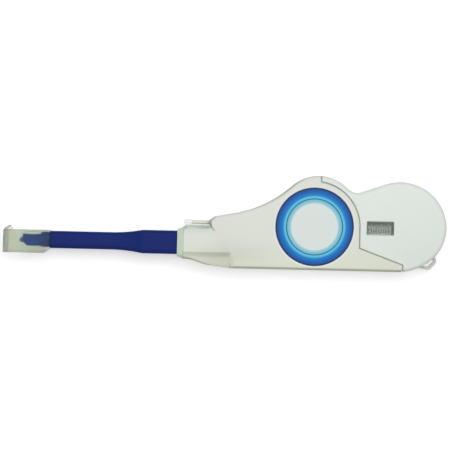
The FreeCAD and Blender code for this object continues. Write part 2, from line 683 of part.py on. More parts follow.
def tip_guide():
    """Front end of the nozzle that enters the connector or adapter, with its ribbed neck."""
    neck = [(FLANGE_END_X + i * 1.15, 0.75) for i in range(3)]
    ribs = [bar(x, x + width, NOZZLE_Y, FLANGE_SIZE, 0) for x, width in neck]
    core_size = (FLANGE_SIZE[0] - 0.8, FLANGE_SIZE[1] - 0.8)
    core = bar(FLANGE_END_X, NOZZLE_FRONT_X, NOZZLE_Y, core_size, 0)
    tip = bar(TIP_END_X, FLANGE_END_X, TIP_Y, TIP_SIZE, 1.2)
    low = TIP_Y - TIP_SIZE[0] / 2.0
    bevel = Part.makePolygon([Vector(TIP_END_X - EPS, low - EPS, 0),
                              Vector(TIP_END_X + TIP_BEVEL + EPS, low - EPS, 0),
                              Vector(TIP_END_X - EPS, low + TIP_BEVEL + EPS, 0),
                              Vector(TIP_END_X - EPS, low - EPS, 0)])
    tip = tip.cut(prism(bevel, 0, BODY_THICK))
    spigot_size = (NOZZLE_BORE[0] - 0.1, NOZZLE_BORE[1] - 0.1)
    spigot = bar(NOZZLE_FRONT_X, NOZZLE_FRONT_X + SPIGOT_LENGTH, NOZZLE_Y, spigot_size, 0)
    guide = fuse([tip, core, spigot] + ribs)
    passage = bar(TIP_END_X - EPS, NOZZLE_FRONT_X + SPIGOT_LENGTH + EPS, TIP_Y, TIP_BORE, 0)
    return guide.cut(passage)


def tape_head():
    """Blade that presses the tape on the ferrule; its front edge is round."""
    half = HEAD_THICK / 2.0
    outline = closed_path([(HEAD_END_X, TIP_Y - half, half * 0.98), (HEAD_REAR_X, TIP_Y - half, 0.3),
                           (HEAD_REAR_X, TIP_Y + half, 0.3), (HEAD_END_X, TIP_Y + half, half * 0.98)])
    return prism(outline, MID_Z - TAPE_WIDTH / 2.0, MID_Z + TAPE_WIDTH / 2.0)


def head_tape():
    """The bight of tape round the head, which moves with it."""
    inner = HEAD_THICK / 2.0 + TAPE_GAP
    outer = inner + TAPE_THICK
    centre = HEAD_END_X + HEAD_THICK / 2.0
    low, high = MID_Z - TAPE_WIDTH / 2.0, MID_Z + TAPE_WIDTH / 2.0
    end = centre + 6.0
    band = post(centre, TIP_Y, low, high, outer).cut(post(centre, TIP_Y, low, high, inner))
    band = band.cut(block(centre, centre + 2 * outer, TIP_Y - 2 * outer, TIP_Y + 2 * outer, low, high))
    runs = [block(centre, end, TIP_Y + min(a, b), TIP_Y + max(a, b), low, high)
            for a, b in ((inner, outer), (-inner, -outer))]
    return fuse([band] + runs)


def tangent_point(corner, centre, radius):
    """Where a tape from the corner meets the lower side of a roll."""
    dx, dy = centre[0] - corner[0], centre[1] - corner[1]
    distance = math.hypot(dx, dy)
    angle = math.atan2(dy, dx) - math.asin(radius / distance)
    reach = math.sqrt(distance ** 2 - radius ** 2)
    return (corner[0] + reach * math.cos(angle), corner[1] + reach * math.sin(angle), 0)


BEND_R = POST_R + TAPE_THICK / 2.0 + 0.02
RUN_Y = HEAD_THICK / 2.0 + TAPE_GAP + 1.5 * TAPE_THICK + 0.05
RUN_START_X = HEAD_END_X + HEAD_THICK / 2.0 + 4.0
BOTTOM_RUN_Y = BOTTOM_Y + WALL + 2.05
FEED_POST_X = NOZZLE_REAR_X + 6.0
RETURN_POST_X = NOZZLE_REAR_X + 3.0


def feed_path():
    """Centre line of the clean tape, from the head back to the supply roll."""
    corner = (FEED_POST_X, TIP_Y + RUN_Y, BEND_R)
    roll = SUPPLY_TAPE_R + TAPE_THICK / 2.0 + 0.02
    return [(RUN_START_X, TIP_Y + RUN_Y, 0), corner, tangent_point(corner, (SUPPLY_X, 0), roll)]


def return_path():
    """Centre line of the used tape, from the head under the supply reel to the take-up roll."""
    corner = (SUPPLY_X + SUPPLY_FLANGE_R + 4.0, BOTTOM_RUN_Y, BEND_R)
    roll = TAKEUP_TAPE_R + TAPE_THICK / 2.0 + 0.02
    return [(RUN_START_X, TIP_Y - RUN_Y, 0), (RETURN_POST_X, TIP_Y - RUN_Y, BEND_R),
            (SUPPLY_X - SUPPLY_FLANGE_R + 2.5, BOTTOM_RUN_Y, BEND_R), corner,
            tangent_point(corner, (TAKEUP_X, 0), roll)]


def tape_run(path):
    """Tape along a path of straight runs and post bends."""
    wire = Part.Wire(rounded_path(path))
    shifted = wire.makeOffset2D(TAPE_THICK / 2.0, 0, False, True)
    face = shifted.makeOffset2D(-TAPE_THICK, 0, True, True)
    low = MID_Z - TAPE_WIDTH / 2.0
    face.translate(Vector(0, 0, low))
    return face.extrude(Vector(0, 0, TAPE_WIDTH))


def bend_centre(before, corner, after):
    """Centre of the bend at a corner of the tape's path, where its post stands."""
    middle = Vector(corner[0], corner[1], 0)
    back = (Vector(before[0], before[1], 0) - middle).normalize()
    ahead = (Vector(after[0], after[1], 0) - middle).normalize()
    half = back.getAngle(ahead) / 2.0
    return middle + (back + ahead).normalize() * (BEND_R / math.sin(half))


def spindle(x):
    top = REEL_HIGH - FLANGE_THICK - RUN_GAP
    return post(x, 0, PLATE_LOW, top, SPINDLE_R)


def reel_frame():
    """Carriage moulding: base plate, spindles, tape posts, nozzle cradle and spring lug."""
    low_y = BOTTOM_RUN_Y - 0.8
    neck_low = NOZZLE_Y - NOZZLE_THIN[0] / 2.0 - 1.3
    lobe_start = SUPPLY_X - SUPPLY_FLANGE_R
    lobe_end = SUPPLY_X + SUPPLY_FLANGE_R + 6.5
    base = plate([(LUG_X, neck_low, 0), (lobe_start - 4.0, neck_low, 0), (lobe_start, low_y, 0),
                  (lobe_end, low_y, 0), (lobe_end, -7.0, 0), (TAKEUP_X + 10.0, -7.0, 5.0),
                  (TAKEUP_X + 10.0, 6.0, 5.0), (lobe_start, 6.0, 0), (lobe_start - 3.0, 1.0, 0),
                  (LUG_X, 1.0, 0)], PLATE_LOW, PLATE_HIGH)
    parts = [base, spindle(SUPPLY_X), spindle(TAKEUP_X)]
    for path in (feed_path(), return_path()):
        for i in range(1, len(path) - 1):
            centre = bend_centre(path[i - 1], path[i], path[i + 1])
            parts.append(post(centre.x, centre.y, PLATE_LOW, MID_Z + TAPE_WIDTH / 2.0 + 0.6, POST_R))
    half = NOZZLE_THIN[0] / 2.0 + 0.05
    high = MID_Z + 3.0
    for side in (-1, 1):
        inner, outer = NOZZLE_Y + side * half, NOZZLE_Y + side * (half + 1.2)
        cheek = block(CRADLE_X, CRADLE_X + 9.0, min(inner, outer), max(inner, outer), PLATE_LOW, high)
        window = block(CRADLE_X + 2.9, CRADLE_X + 6.1, min(inner, outer) - EPS, max(inner, outer) + EPS,
                       MID_Z - 1.6, MID_Z + 1.6)
        parts.append(cheek.cut(window))
    rest = block(CRADLE_X, CRADLE_X + 9.0, NOZZLE_Y - half, NOZZLE_Y + half, PLATE_LOW,
                 MID_Z - NOZZLE_THIN[1] / 2.0 - 0.05)
    lug = block(LUG_X, LUG_X + RIB_THICK, SPRING_Y - 2.6, 1.0, PLATE_LOW, MID_Z + 3.5)
    nib = Part.makeCylinder(NIB_R, NIB_LENGTH, Vector(LUG_X + RIB_THICK, SPRING_Y, MID_Z), Vector(1, 0, 0))
    return fuse(parts + [rest, lug, nib])


def return_spring():
    return coil(LUG_X + RIB_THICK, SEAT_X, SPRING_Y, SPRING_R, SPRING_WIRE, SPRING_TURNS)


def head_spring():
    return coil(HEAD_REAR_X, SPRING_STOP_X, TIP_Y, HEAD_SPRING_R, HEAD_SPRING_WIRE, HEAD_SPRING_TURNS)


# ---------------------------------------------------------------- reels

SLEEVE_R = SPINDLE_R + 1.2


def reel(x, flange_r):
    """Reel with a blind hub that turns on its spindle."""
    low = post(x, 0, REEL_LOW, REEL_LOW + FLANGE_THICK, flange_r)
    high = post(x, 0, REEL_HIGH - FLANGE_THICK, REEL_HIGH, flange_r)
    hub = post(x, 0, REEL_LOW, REEL_HIGH, HUB_R)
    sleeve = post(x, 0, PLATE_HIGH + RAIL_FIT, REEL_LOW + EPS, SLEEVE_R)
    body = fuse([low, high, hub, sleeve])
    return body.cut(post(x, 0, 0, REEL_HIGH - FLANGE_THICK, SPINDLE_R + SPINDLE_FIT))


def tape_roll(x, radius):
    low, high = MID_Z - TAPE_WIDTH / 2.0, MID_Z + TAPE_WIDTH / 2.0
    return post(x, 0, low, high, radius).cut(post(x, 0, low - EPS, high + EPS, HUB_R + 0.03))


def flank_angle(radius):
    """Half the angle of a gear tooth at a radius, with involute flanks."""
    pressure = math.radians(PRESSURE_ANGLE)
    base = PITCH_R * math.cos(pressure)
    here = math.acos(min(1.0, base / radius))
    at_pitch = math.pi / 2.0 / GEAR_TEETH - BACKLASH / 2.0 / PITCH_R
    return at_pitch + (math.tan(pressure) - pressure) - (math.tan(here) - here)


def drive_gear():
    """Spur gear under the take-up reel; a tooth space faces the rack at rest."""
    base = PITCH_R * math.cos(math.radians(PRESSURE_ANGLE))
    root, tip = PITCH_R - 1.25 * MODULE, PITCH_R + MODULE
    edges = []
    last = None
    for i in range(GEAR_TEETH):
        centre = 2.0 * math.pi * (i + 0.5) / GEAR_TEETH + math.pi / 2.0
        levels = [root, PITCH_R, tip]
        rising = [(r, centre - flank_angle(max(r, base))) for r in levels]
        falling = [(r, centre + flank_angle(max(r, base))) for r in reversed(levels)]
        points = [Vector(TAKEUP_X + r * math.cos(a), r * math.sin(a), 0) for r, a in rising + falling]
        if last:
            edges.append(Part.makeLine(last, points[0]))
        edges += [Part.makeLine(a, b) for a, b in zip(points, points[1:])]
        last = points[-1]
    edges.append(Part.makeLine(last, edges[0].Vertexes[0].Point))
    gear = prism(Part.Wire(edges), GEAR_LOW, REEL_LOW)
    return gear.cut(post(TAKEUP_X, 0, 0, BODY_THICK, SLEEVE_R + 0.02))


# ---------------------------------------------------------------- lever and cap

def lock_lever():
    """Lever with a thumb knob at the front and an eye on the cross pin at the rear."""
    eye = LEVER_THICK / 2.0
    outline = [(KNOB_FRONT_X, DECK_Y + 0.85, 0), (KNOB_FRONT_X, LEVER_TOP_Y + 0.4, 1.0),
               (KNOB_FRONT_X + KNOB_LENGTH, LEVER_TOP_Y + 0.4, 0),
               (KNOB_FRONT_X + KNOB_LENGTH + 0.4, LEVER_TOP_Y, 0),
               (LEVER_PIN_X + eye, LEVER_TOP_Y, eye * 0.98),
               (LEVER_PIN_X + eye, LEVER_TOP_Y - LEVER_THICK, eye * 0.98),
               (LEVER_PIN_X - eye, LEVER_TOP_Y - LEVER_THICK, 0)]
    half = LEVER_WIDTH / 2.0
    lever = plate(outline, MID_Z - half, MID_Z + half)
    rims = [e for e in lever.Edges if e.BoundBox.XMax < KNOB_FRONT_X + KNOB_LENGTH
            and e.BoundBox.ZLength < 1e-6 and e.BoundBox.YMin > DECK_Y + 2.0]
    lever = lever.makeChamfer(0.25, rims)
    return lever.cut(post(LEVER_PIN_X, LEVER_PIN_Y, 0, BODY_THICK, LEVER_PIN_R + SPINDLE_FIT))


CAP_Y = (CAP_TOP_Y + CAP_BOTTOM_Y) / 2.0
CAP_HEIGHT = CAP_TOP_Y - CAP_BOTTOM_Y


def strap_band(x0, y0, x1, y1):
    """Flat piece of the hinge strap between two points of its side view."""
    along = Vector(x1 - x0, y1 - y0, 0)
    across = Vector(-along.y, along.x, 0).normalize() * (STRAP_THICK / 2.0)
    a, b = Vector(x0, y0, 0), Vector(x1, y1, 0)
    wire = Part.makePolygon([a - across, b - across, b + across, a + across, a - across])
    return prism(wire, MID_Z - STRAP_WIDTH / 2.0, MID_Z + STRAP_WIDTH / 2.0)


def guide_cap():
    """Translucent box over the tip; its front cavity takes a connector plug."""
    outer = bar(CAP_FRONT_X, CAP_REAR_X, CAP_Y, (CAP_HEIGHT, CAP_WIDTH), CAP_ROUND)
    far, low = CAP_REAR_X + EPS, CAP_BOTTOM_Y - EPS
    run, rise = CAP_CHAMFER
    slope = rise / run
    corner = Part.makePolygon([Vector(CAP_REAR_X - run - EPS / slope, low, 0), Vector(far, low, 0),
                               Vector(far, CAP_BOTTOM_Y + rise + EPS * slope, 0),
                               Vector(CAP_REAR_X - run - EPS / slope, low, 0)])
    outer = outer.cut(prism(corner, 0, BODY_THICK))
    cavity_size = (CAP_HEIGHT - 2 * CAP_WALL, CAP_WIDTH - 2 * CAP_WALL)
    cavity = bar(CAP_FRONT_X - EPS, CAP_REAR_X - CAP_REAR_WALL, CAP_Y, cavity_size, 0)
    hole_size = (FLANGE_SIZE[0] + 2 * CAP_FIT, FLANGE_SIZE[1] + 2 * CAP_FIT)
    hole = bar(CAP_REAR_X - CAP_REAR_WALL - EPS, CAP_REAR_X + EPS, NOZZLE_Y, hole_size, 0)
    foot_x = HINGE_X + 1.2
    lean = (foot_x - HINGE_X, CAP_TOP_Y - 0.3 - HINGE_Y)
    reach = math.hypot(*lean)
    start = (STRAP_THICK / 2.0 + LID_GAP) / reach
    strap = strap_band(HINGE_X + lean[0] * start, HINGE_Y + lean[1] * start, foot_x, CAP_TOP_Y - 0.3)
    return fuse([outer.cut(cavity).cut(hole), strap.cut(post(HINGE_X, HINGE_Y, 0, BODY_THICK,
                                                              STRAP_THICK / 2.0 + LID_GAP))])


def cap_lid():
    """Front lid with its half of the hinge strap."""
    high = CAP_FRONT_X - LID_GAP
    lid = bar(high - LID_THICK, high, CAP_Y, (CAP_HEIGHT, CAP_WIDTH), CAP_ROUND)
    strap = strap_band(high - 0.8 * LID_THICK, CAP_TOP_Y - 0.1, HINGE_X, HINGE_Y)
    knuckle = post(HINGE_X, HINGE_Y, MID_Z - STRAP_WIDTH / 2.0, MID_Z + STRAP_WIDTH / 2.0, STRAP_THICK / 2.0)
    return fuse([lid, strap, knuckle])


# ---------------------------------------------------------------- build

def build():
    front_top, front_back, rear_top, rear_back = housing_halves()
    return {
        "front_shell_top": front_top,
        "front_shell_back": front_back,
        "rear_cover_top": rear_top,
        "rear_cover_back": rear_back,
        "nose_collar": nose_collar(),
        "label_disc": label_disc(),
        "window_lens": window_lens(),
        "lever_pin": lever_pin(),
        "drive_rack": drive_rack(),
        "lock_lever": lock_lever(),
        "nozzle_tube": nozzle_tube(),
        "tip_guide": tip_guide(),
        "reel_frame": reel_frame(),
        "return_spring": return_spring(),
        "tape_feed_run": tape_run(feed_path()),
        "tape_return_run": tape_run(return_path()),
        "tape_head": tape_head(),
        "head_tape": head_tape(),
        "head_spring": head_spring(),
        "supply_reel": reel(SUPPLY_X, SUPPLY_FLANGE_R),
        "supply_tape": tape_roll(SUPPLY_X, SUPPLY_TAPE_R),
        "takeup_reel": reel(TAKEUP_X, TAKEUP_FLANGE_R),
        "takeup_tape": tape_roll(TAKEUP_X, TAKEUP_TAPE_R),
        "drive_gear": drive_gear(),
        "guide_cap": guide_cap(),
        "cap_lid": cap_lid(),
    }


os.makedirs("parts", exist_ok=True)
for name, solid in build().items():
    save(name, solid)
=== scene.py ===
import bmesh
import bpy
import math
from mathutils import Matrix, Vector


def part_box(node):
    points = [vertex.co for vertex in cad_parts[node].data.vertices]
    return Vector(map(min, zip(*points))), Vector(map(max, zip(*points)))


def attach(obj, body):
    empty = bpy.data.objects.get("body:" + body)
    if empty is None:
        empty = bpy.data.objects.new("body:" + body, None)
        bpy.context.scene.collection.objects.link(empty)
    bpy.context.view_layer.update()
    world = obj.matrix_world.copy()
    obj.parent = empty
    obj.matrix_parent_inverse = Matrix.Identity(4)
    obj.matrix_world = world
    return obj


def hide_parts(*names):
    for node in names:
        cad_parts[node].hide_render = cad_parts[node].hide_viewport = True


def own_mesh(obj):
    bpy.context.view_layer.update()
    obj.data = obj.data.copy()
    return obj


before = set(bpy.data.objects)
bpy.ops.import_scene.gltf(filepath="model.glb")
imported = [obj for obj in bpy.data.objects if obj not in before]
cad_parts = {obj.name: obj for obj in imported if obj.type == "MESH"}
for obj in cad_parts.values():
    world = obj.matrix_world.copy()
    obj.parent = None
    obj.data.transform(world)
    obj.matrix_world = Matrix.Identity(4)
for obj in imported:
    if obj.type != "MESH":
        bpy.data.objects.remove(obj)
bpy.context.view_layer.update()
bpy.ops.object.select_all(action="DESELECT")

# ------------------------------------------------------------------ front housing
# Two ivory ABS half shells, injection moulded with a fine satin grain and pressed
# together on pegs. They carry the label recess, the finger scoop and the lever's
# shoulder; their lower side is painted a little yellower and darker, as shade.


def tone(red, green, blue):
    """A finish's colour, from the 0 to 255 values of a colour card."""
    def channel(value):
        share = value / 255.0
        return share / 12.92 if share <= 0.04045 else ((share + 0.055) / 1.055) ** 2.4
    return (channel(red), channel(green), channel(blue), 1.0)


def group_of(name, inputs, outputs):
    """A shader node group with its sockets and just its two end nodes."""
    group = bpy.data.node_groups.new(name, "ShaderNodeTree")
    for label, kind, value in inputs:
        socket = group.interface.new_socket(name=label, in_out="INPUT", socket_type=kind)
        socket.default_value = value
    for label, kind in outputs:
        group.interface.new_socket(name=label, in_out="OUTPUT", socket_type=kind)
    return group, group.nodes.new("NodeGroupInput"), group.nodes.new("NodeGroupOutput")


def placed(tree, group):
    """A node group set into a material."""
    node = tree.nodes.new("ShaderNodeGroup")
    node.node_tree = group
    return node


def fed(tree, socket, value):
    """Feeds a socket from another socket, or sets it to a number or a colour."""
    if isinstance(value, (int, float, tuple)):
        socket.default_value = value
    else:
        tree.links.new(value, socket)


def sums(tree, operation, first, *others):
    """Math nodes one after another; each value is a socket or a number."""
    for other in others:
        node = tree.nodes.new("ShaderNodeMath")
        node.operation = operation
        fed(tree, node.inputs[0], first)
        fed(tree, node.inputs[1], other)
        first = node.outputs[0]
    return first


def blended(tree, share, first, second):
    """A colour mix; each colour is a socket or four numbers."""
    node = tree.nodes.new("ShaderNodeMix")
    node.data_type = "RGBA"
    share_in, first_in, second_in = node.inputs[0], node.inputs[6], node.inputs[7]
    fed(tree, share_in, share)
    fed(tree, first_in, first)
    fed(tree, second_in, second)
    return node.outputs[2]


def grain_group():
    """Spark-eroded grain of a mould: a height, a fine value and a slow mottle."""
    broad_share = 0.21
    fine_height, broad_height = 0.7, 0.6
    mottle_density = 42.0
    noise_detail = 3.0
    group, start, end = group_of(
        "mould_grain",
        [("Grain size mm", "NodeSocketFloat", 0.35)],
        [("Height", "NodeSocketFloat"), ("Fine", "NodeSocketFloat"),
         ("Mottle", "NodeSocketFloat")])
    place = group.nodes.new("ShaderNodeTexCoord").outputs["Object"]
    density = sums(group, "DIVIDE", 1000.0, start.outputs["Grain size mm"])
    broad_density = sums(group, "MULTIPLY", density, broad_share)
    fine, broad, mottle = [group.nodes.new("ShaderNodeTexNoise") for _ in range(3)]
    for noise, scale in ((fine, density), (broad, broad_density), (mottle, mottle_density)):
        group.links.new(place, noise.inputs["Vector"])
        fed(group, noise.inputs["Scale"], scale)
    fine.inputs["Detail"].default_value = noise_detail
    mottle.inputs["Detail"].default_value = noise_detail
    height = sums(group, "ADD", sums(group, "MULTIPLY", fine.outputs["Fac"], fine_height),
                  sums(group, "MULTIPLY", broad.outputs["Fac"], broad_height))
    group.links.new(height, end.inputs["Height"])
    group.links.new(fine.outputs["Fac"], end.inputs["Fine"])
    group.links.new(mottle.outputs["Fac"], end.inputs["Mottle"])
    return group


def edge_group():
    """Soft rounds on moulded edges, a mask of those edges, and a mask of the hollows where shade
    is painted.
    """
    ray_count = 8
    edge_gain = 4.0
    group, start, end = group_of(
        "soft_edges",
        [("Round", "NodeSocketFloat", 0.0006), ("Hollow", "NodeSocketFloat", 0.004)],
        [("Normal", "NodeSocketVector"), ("Edge", "NodeSocketFloat"),
         ("Crease", "NodeSocketFloat")])
    bevel = group.nodes.new("ShaderNodeBevel")
    bevel.samples = ray_count
    group.links.new(start.outputs["Round"], bevel.inputs["Radius"])
    group.links.new(bevel.outputs["Normal"], end.inputs["Normal"])
    match = group.nodes.new("ShaderNodeVectorMath")
    match.operation = "DOT_PRODUCT"
    group.links.new(bevel.outputs["Normal"], match.inputs[0])
    group.links.new(group.nodes.new("ShaderNodeNewGeometry").outputs["Normal"], match.inputs[1])
    turned = sums(group, "SUBTRACT", 1.0, match.outputs["Value"])
    edge = sums(group, "MINIMUM", sums(group, "MULTIPLY", turned, edge_gain), 1.0)
    group.links.new(edge, end.inputs["Edge"])
    hollow = group.nodes.new("ShaderNodeAmbientOcclusion")
    hollow.samples = ray_count
    group.links.new(start.outputs["Hollow"], hollow.inputs["Distance"])
    group.links.new(sums(group, "SUBTRACT", 1.0, hollow.outputs["AO"]), end.inputs["Crease"])
    return group


MOULD_GRAIN = grain_group()
SOFT_EDGES = edge_group()


def bumped(tree, height, strength, depth, normal=None):
    """Works a height into the shader's surface, on top of a normal if there is one."""
    bump = tree.nodes.new("ShaderNodeBump")
    bump.inputs["Strength"].default_value = strength
    bump.inputs["Distance"].default_value = depth
    tree.links.new(height, bump.inputs["Height"])
    if normal:
        tree.links.new(normal, bump.inputs["Normal"])
    tree.links.new(bump.outputs["Normal"], tree.nodes["Principled BSDF"].inputs["Normal"])


def moulded(name, colour, shade, edge, rough, grain=0.35, depth=0.00002, rounding=0.0006,
            shine=0.3, hollow_shade=0.4):
    """Moulded plastic: a mottled colour, edges partly worn and partly painted light and shade,
    painted shade in its hollows, and grain in its gloss.
    """
    mottle, edge_wear_and_light, hollow_shade_depth = 0.35, 0.5, 0.5
    gloss_swing = 0.12
    material = bpy.data.materials.new(name)
    material.use_nodes = True
    tree = material.node_tree
    shader = tree.nodes["Principled BSDF"]
    texture = placed(tree, MOULD_GRAIN)
    texture.inputs["Grain size mm"].default_value = grain
    edges = placed(tree, SOFT_EDGES)
    edges.inputs["Round"].default_value = rounding
    body = blended(tree, sums(tree, "MULTIPLY", texture.outputs["Mottle"], mottle), colour, shade)
    # Edges are mixed towards the edge colour: partly handling wear and partly painted light and
    # shade, darker edges standing for shade and lighter ones for highlight.
    edge_worn_and_lit = blended(tree, sums(tree, "MULTIPLY", edges.outputs["Edge"], edge_wear_and_light), body, edge)
    # The hollows are painted darker, as shade.
    dull = tuple(channel * hollow_shade_depth for channel in shade[:3]) + (1.0,)
    aged = blended(tree, sums(tree, "MULTIPLY", edges.outputs["Crease"], hollow_shade), edge_worn_and_lit, dull)
    tree.links.new(aged, shader.inputs["Base Color"])
    shader.inputs["Specular IOR Level"].default_value = shine
    swing = sums(tree, "MULTIPLY", texture.outputs["Fine"], gloss_swing)
    gloss = sums(tree, "ADD", rough - gloss_swing / 2.0, swing)
    tree.links.new(gloss, shader.inputs["Roughness"])
    bumped(tree, texture.outputs["Height"], strength=0.6, depth=depth,
           normal=edges.outputs["Normal"])
    return material


def finish_nodes(material, *names):
    """Gives solids of the frame their finish."""
    for name in names:
        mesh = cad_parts[name].data
        mesh.materials.clear()
        mesh.materials.append(material)


def ramped(tree, value, start, end):
    """A smooth share from 0 at the start to 1 at the end."""
    rising = start < end
    node = tree.nodes.new("ShaderNodeMapRange")
    node.interpolation_type = "SMOOTHSTEP"
    node.inputs["From Min"].default_value = min(start, end)
    node.inputs["From Max"].default_value = max(start, end)
    node.inputs["To Min"].default_value = 0.0 if rising else 1.0
    node.inputs["To Max"].default_value = 1.0 if rising else 0.0
    tree.links.new(value, node.inputs["Value"])
    return node.outputs[0]


def split(tree, output):
    """The X, Y and Z of a coordinate, such as each point's place in the frame or its normal."""
    axes = tree.nodes.new("ShaderNodeSeparateXYZ")
    tree.links.new(tree.nodes.new("ShaderNodeTexCoord").outputs[output], axes.inputs[0])
    return axes.outputs["X"], axes.outputs["Y"], axes.outputs["Z"]


def label_reach(tree):
    """Each point's distance from the label's axis, which is the frame's Z axis."""
    flat = tree.nodes.new("ShaderNodeVectorMath")
    flat.operation = "MULTIPLY"
    flat.inputs[1].default_value = (1.0, 1.0, 0.0)
    tree.links.new(tree.nodes.new("ShaderNodeTexCoord").outputs["Object"], flat.inputs[0])
    reach = tree.nodes.new("ShaderNodeVectorMath")
    reach.operation = "LENGTH"
    tree.links.new(flat.outputs[0], reach.inputs[0])
    return reach.outputs["Value"]


def tinted(material, colour, strength, *masks):
    """Lays one more colour over a finish where all the masks say."""
    tree = material.node_tree
    base = tree.nodes["Principled BSDF"].inputs["Base Color"]
    share = sums(tree, "MULTIPLY", *masks, strength)
    tree.links.new(blended(tree, share, base.links[0].from_socket, colour), base)


ivory = moulded("ivory_housing", tone(229, 232, 223), tone(219, 222, 210),
                tone(184, 192, 180), 0.38, rounding=0.0011, hollow_shade=0.6)
tree = ivory.node_tree
along, across, up = split(tree, "Object")
facing_x, facing_y, facing_up = split(tree, "Normal")

# The lower side is painted a little yellower and darker, as shade.
lower_side_shade = ramped(tree, across, -0.0040, -0.0210)
tinted(ivory, tone(224, 230, 205), 0.5, lower_side_shade)

# Everything below the label face is painted darker, as shade: greyer towards the finger
# scoop and greener towards the deck by the lever.
below_face = ramped(tree, up, 0.0199, 0.0189)
scoop_to_deck = ramped(tree, across, -0.0110, -0.0070)
sunk_shade_colour = blended(tree, scoop_to_deck, tone(200, 206, 186), tone(194, 212, 201))
tinted(ivory, sunk_shade_colour, 0.45, below_face)

# Banks that face the nozzle or the straight lower side are painted darker, as shade.
lean = sums(tree, "MULTIPLY", sums(tree, "MINIMUM", facing_x, facing_y), -1.0)
bank_shade = ramped(tree, lean, 0.15, 0.50)
not_wall = ramped(tree, facing_up, 0.3, 0.7)
tinted(ivory, tone(146, 150, 126), 0.5, bank_shade, not_wall)

# The band along the edge where the scoop begins is painted shade, and the pale lip
# round the label is a painted highlight.
band_start = ramped(tree, across, -0.0139, -0.0147)
band_end = ramped(tree, across, -0.0178, -0.0152)
band_rear = ramped(tree, along, -0.0425, -0.0440)
facing_label = ramped(tree, facing_up, 0.5, 0.8)
tinted(ivory, tone(168, 172, 150), 0.55, band_start, band_end, band_rear, facing_label)
label_lip_highlight = ramped(tree, label_reach(tree), 0.0214, 0.0208)
tinted(ivory, tone(244, 246, 240), 0.8, label_lip_highlight)


def only(piece):
    """Leaves just this piece selected and active."""
    bpy.ops.object.select_all(action="DESELECT")
    piece.select_set(True)
    bpy.context.view_layer.objects.active = piece


def on_rim(edge):
    """Whether an edge bounds the flat that runs round a shell's outer rim."""
    rim_depth = 0.0008
    back_face, label_face = 0.0, 0.0200
    if len(edge.link_faces) != 2:
        return False
    lower_slope, upper_slope = sorted(abs(face.normal.z) for face in edge.link_faces)
    heights = [point.co.z for point in edge.verts]
    near_face = min(heights) > label_face - rim_depth or max(heights) < back_face + rim_depth
    # A wall's normal lies flat, the rim's flat leans by 45 degrees, and a face's stands up.
    beside_wall = lower_slope < 0.08 and 0.6 < upper_slope < 0.8
    beside_face = 0.6 < lower_slope < 0.8 and upper_slope > 0.98
    return near_face and (beside_wall or beside_face)


def rounded_shell(name, node, material):
    """A moulded shell: its solid's shape, with both edges of each rim's flat rounded."""
    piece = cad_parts[node].copy()
    piece.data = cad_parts[node].data.copy()
    piece.name = name
    bpy.context.collection.objects.link(piece)
    only(piece)
    bpy.ops.object.mode_set(mode="EDIT")
    bpy.ops.mesh.select_all(action="SELECT")
    bpy.ops.mesh.remove_doubles(threshold=0.000001)
    bpy.ops.mesh.dissolve_limited(angle_limit=math.radians(0.5))
    bpy.ops.mesh.select_all(action="DESELECT")
    bpy.ops.mesh.select_mode(type="EDGE")
    mesh = bmesh.from_edit_mesh(piece.data)
    for edge in mesh.edges:
        edge.select_set(on_rim(edge))
    bmesh.update_edit_mesh(piece.data)
    bpy.ops.mesh.bevel(offset=0.00024, segments=3, affect="EDGES", profile=0.5)
    bpy.ops.mesh.select_mode(type="FACE")
    bpy.ops.object.mode_set(mode="OBJECT")
    bpy.ops.object.shade_smooth_by_angle(angle=math.radians(28.0))
    piece.data.materials.clear()
    piece.data.materials.append(material)
    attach(piece, "housing")
    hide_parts(node)


for half in ("top", "back"):
    rounded_shell("front_housing_" + half, "front_shell_" + half, ivory)

# ------------------------------------------------------------------ nose collar
# The ring that the nozzle slides through, snapped on the front of the nose. It is the
# same ivory ABS, coloured a little greener, and its edges are painted lighter as highlight.

collar_ivory = moulded("collar_ivory", tone(215, 230, 211), tone(205, 221, 199),
                       tone(230, 238, 236), 0.4, rounding=0.0008)
finish_nodes(collar_ivory, "nose_collar")

# ------------------------------------------------------------------ rear cover
# The bulb-shaped rear cover, also two half shells, in a slightly cooler and whiter
# ABS. It holds the window's recess and has the strap loop moulded on its back half.

cover_white = moulded("white_cover", tone(229, 237, 229), tone(221, 229, 221),
                      tone(188, 197, 188), 0.34, rounding=0.0011, hollow_shade=0.2)
tree = cover_white.node_tree
along, across, up = split(tree, "Object")

# The strap loop's thin bar, lower than the label face, is painted yellower and darker, as shade.
loop_front = ramped(tree, along, 0.0560, 0.0585)
loop_top = ramped(tree, up, 0.0125, 0.0115)
loop_side = ramped(tree, across, -0.0150, -0.0165)
tinted(cover_white, tone(224, 219, 188), 0.5, loop_front, loop_top, loop_side)

for half in ("top", "back"):
    rounded_shell("bulb_cover_" + half, "rear_cover_" + half, cover_white)

# ------------------------------------------------------------------ label
# A round printed polyester label with a gloss film, glued in the front housing's
# recess. Its generic print is a navy rim, a blue band, cyan rings and a pale centre.

label_radius_mm = 20.2
rings_mm = [
    (0.0, tone(232, 238, 232)), (11.8, tone(230, 239, 236)), (12.6, tone(160, 214, 228)),
    (14.2, tone(112, 192, 216)), (14.35, tone(20, 92, 124)), (14.7, tone(20, 92, 124)),
    (14.85, tone(104, 208, 244)), (15.8, tone(82, 190, 236)), (16.3, tone(24, 136, 212)),
    (18.0, tone(0, 104, 190)), (19.4, tone(0, 78, 162)), (19.75, tone(0, 38, 90)),
    (label_radius_mm, tone(0, 28, 70))]
film_gloss, gloss_swing = 0.22, 0.1
ink_mottle = 0.03

